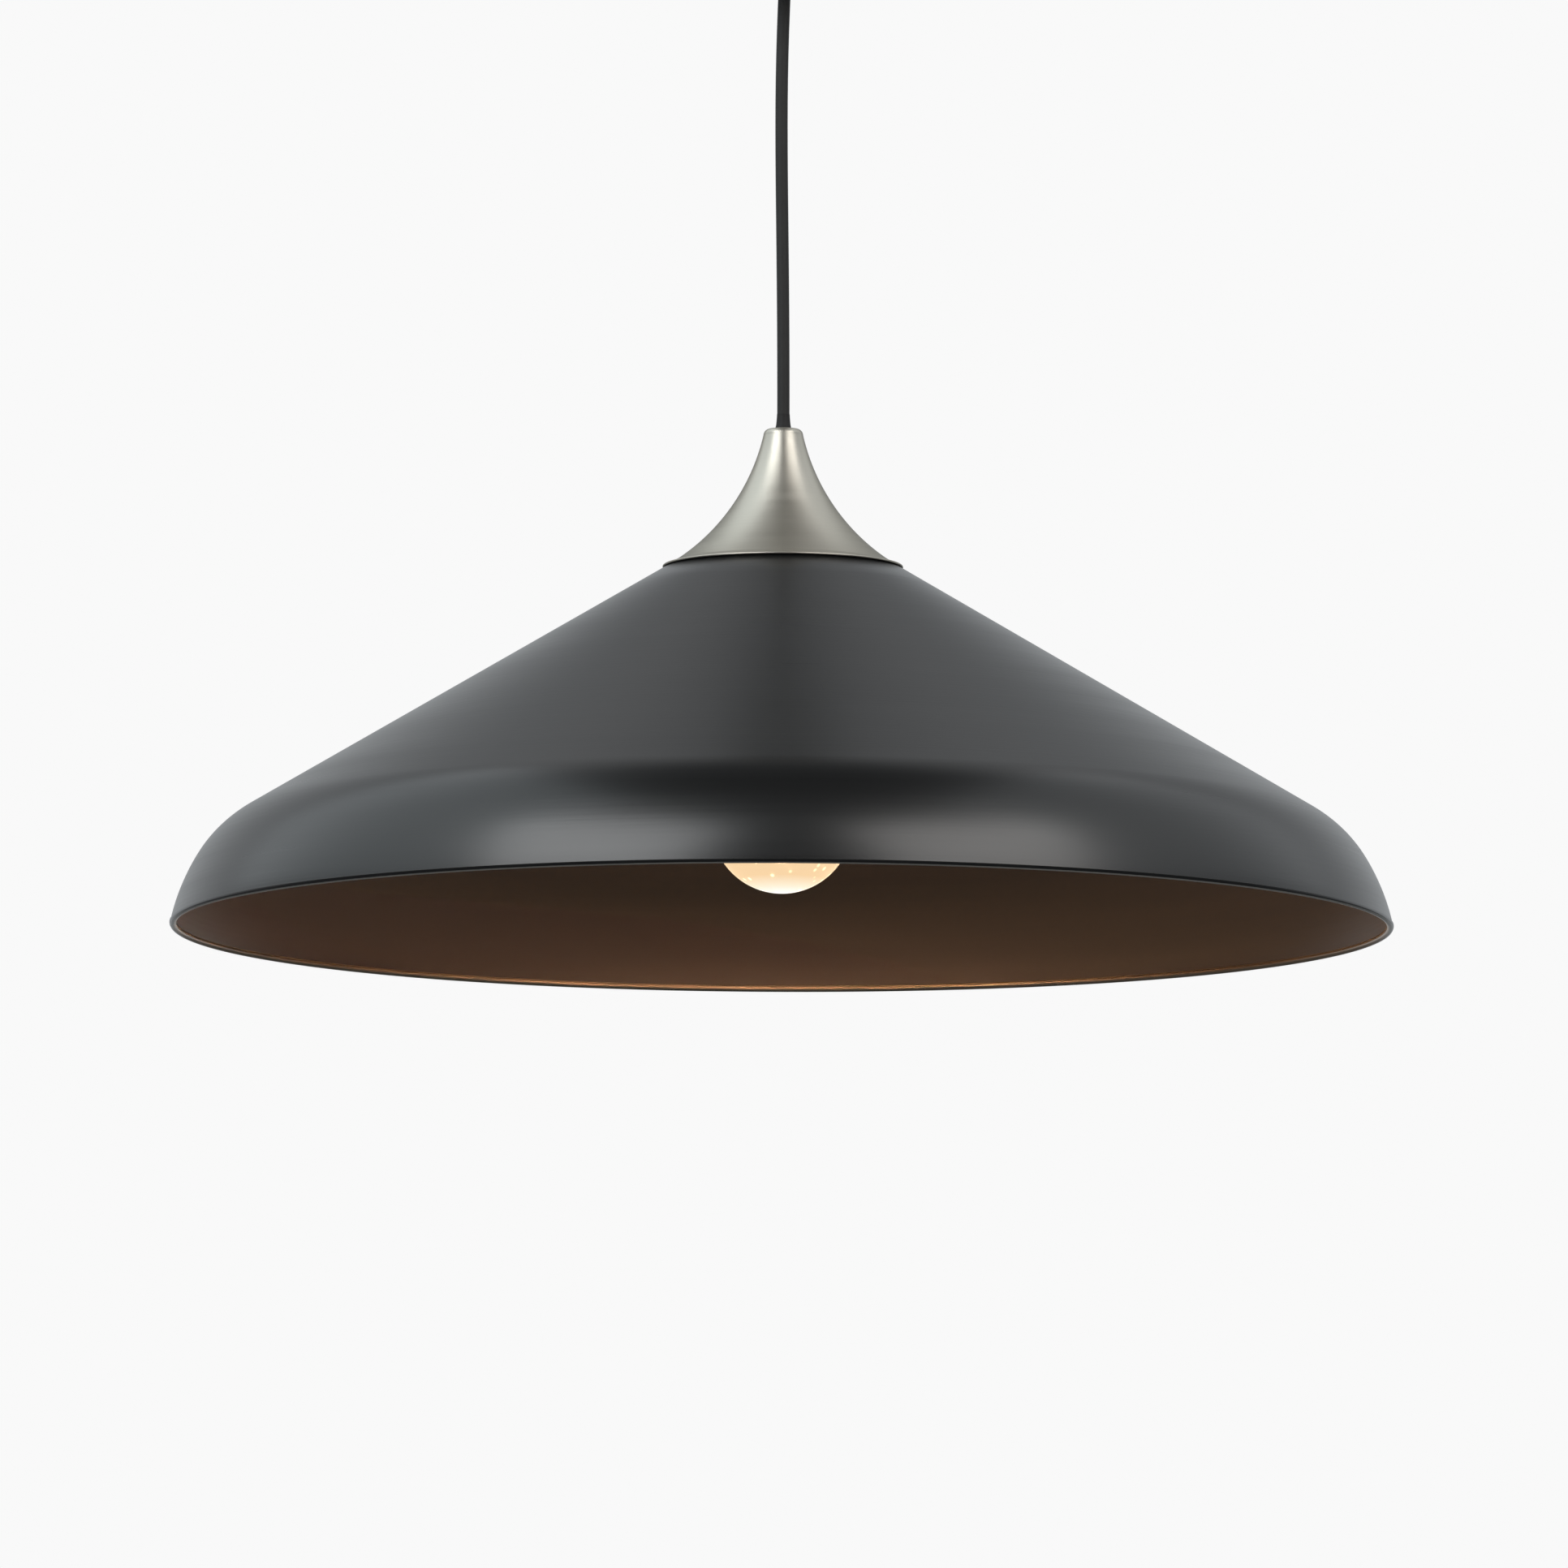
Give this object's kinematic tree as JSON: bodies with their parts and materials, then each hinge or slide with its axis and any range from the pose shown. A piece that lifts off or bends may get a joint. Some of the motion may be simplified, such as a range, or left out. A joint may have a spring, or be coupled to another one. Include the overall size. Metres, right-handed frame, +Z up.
{
  "type": "pendant ceiling light",
  "caption": "Wide shallow spun-metal pendant light: trumpet cap on a conical shade with a rounded shoulder, hung by a cord from a ceiling canopy, with a screw-in bulb.",
  "frame": {"origin": "on the ceiling plane, at the centre of the bracket's top face", "axes": "+Z up out of the ceiling face along the lamp's axis; the lamp hangs towards -Z; +X along the bracket; -Y towards the viewer"},
  "size_m": [0.5096, 0.5096, 0.432],
  "materials": {
    "charcoal_paint": "satin charcoal outside, warm dark bronze inside",
    "brushed_nickel": "warm brushed nickel, turned grain",
    "zinc_steel": "zinc plated",
    "black_plastic": "satin moulded",
    "white_plastic": "moulded",
    "black_rubber": "matt",
    "cord_sheath": "matt round sheath",
    "white_ceramic": "glazed",
    "brass": "plain",
    "bulb_glass": "clear, lit warm white",
    "filament": "lit",
    "brown_wire": "insulation",
    "blue_wire": "insulation",
    "green_wire": "insulation, green and yellow"
  },
  "bodies": {
    "ceiling_fitting": {"bracket_strap": "zinc_steel", "ceiling_canopy": "brushed_nickel", "canopy_screw_left": "brushed_nickel", "canopy_screw_right": "brushed_nickel", "ceiling_gland": "black_plastic", "gland_nut": "zinc_steel", "gland_grub_screw": "brass", "cord_tail": "cord_sheath", "terminal_block": "white_plastic", "ceiling_live_wire": "brown_wire", "ceiling_neutral_wire": "blue_wire", "ceiling_earth_wire": "green_wire", "block_screw_live": "brass", "block_screw_neutral": "brass", "block_screw_earth": "brass", "bracket_earth_screw": "brass"},
    "upper_bush": {"upper_bush": "black_rubber"},
    "cord": {"pendant_cord": "cord_sheath", "cord_boot": "black_rubber"},
    "lower_bush": {"lower_bush": "black_rubber"},
    "cord_end": {"cord_grip": "black_plastic", "cord_grip_screw": "zinc_steel", "inner_cord": "cord_sheath"},
    "lamp": {"trumpet_cap": "brushed_nickel", "shade": "charcoal_paint", "threaded_nipple": "zinc_steel", "nipple_nut": "zinc_steel", "earth_tag": "brass", "lampholder_dome": "black_plastic", "lampholder_skirt": "black_plastic", "shade_ring": "black_plastic", "lampholder_insert": "white_ceramic", "screw_shell": "brass", "centre_contact": "brass", "holder_screw_live": "brass", "holder_screw_neutral": "brass", "holder_live_wire": "brown_wire", "holder_neutral_wire": "blue_wire", "holder_earth_wire": "green_wire"},
    "bulb_foot": {"bulb_contact": "zinc_steel"},
    "bulb": {"bulb_insulator": "black_plastic", "bulb_base": "brushed_nickel", "bulb_glass": "bulb_glass", "bulb_stem": "bulb_glass", "filament_frame": "zinc_steel", "filament_1": "filament", "filament_2": "filament", "filament_3": "filament", "filament_4": "filament"}
  },
  "joints": [
    {"name": "swing_x", "type": "hinge", "parent": "ceiling_fitting", "child": "upper_bush", "pos_m": [0, 0, -0.0345], "axis": [1, 0, 0], "range_deg": [-30, 30]},
    {"name": "swing_y", "type": "hinge", "parent": "upper_bush", "child": "cord", "pos_m": [0, 0, -0.0345], "axis": [0, 1, 0], "range_deg": [-30, 30]},
    {"name": "tilt_x", "type": "hinge", "parent": "cord", "child": "lower_bush", "pos_m": [0, 0, -0.222], "axis": [1, 0, 0], "range_deg": [-15, 15]},
    {"name": "tilt_y", "type": "hinge", "parent": "lower_bush", "child": "cord_end", "pos_m": [0, 0, -0.222], "axis": [0, 1, 0], "range_deg": [-15, 15]},
    {"name": "shade_turn", "type": "hinge", "parent": "cord_end", "child": "lamp", "pos_m": [0, 0, -0.222], "axis": [0, 0, 1], "range_deg": [-180, 180], "stiffness_Nm_per_rad": 0.01},
    {"name": "bulb_travel", "type": "slide", "parent": "lamp", "child": "bulb_foot", "axis": [0, 0, -1], "range_m": [0, 0.01448]},
    {"name": "bulb_turn", "type": "hinge", "parent": "bulb_foot", "child": "bulb", "pos_m": [0, 0, -0.307], "axis": [0, 0, -1], "range_deg": [0, 1440]}
  ],
  "couplings": [
    {"joint": "bulb_turn", "follows": "bulb_travel", "rad_per_m": 1735.7}
  ]
}
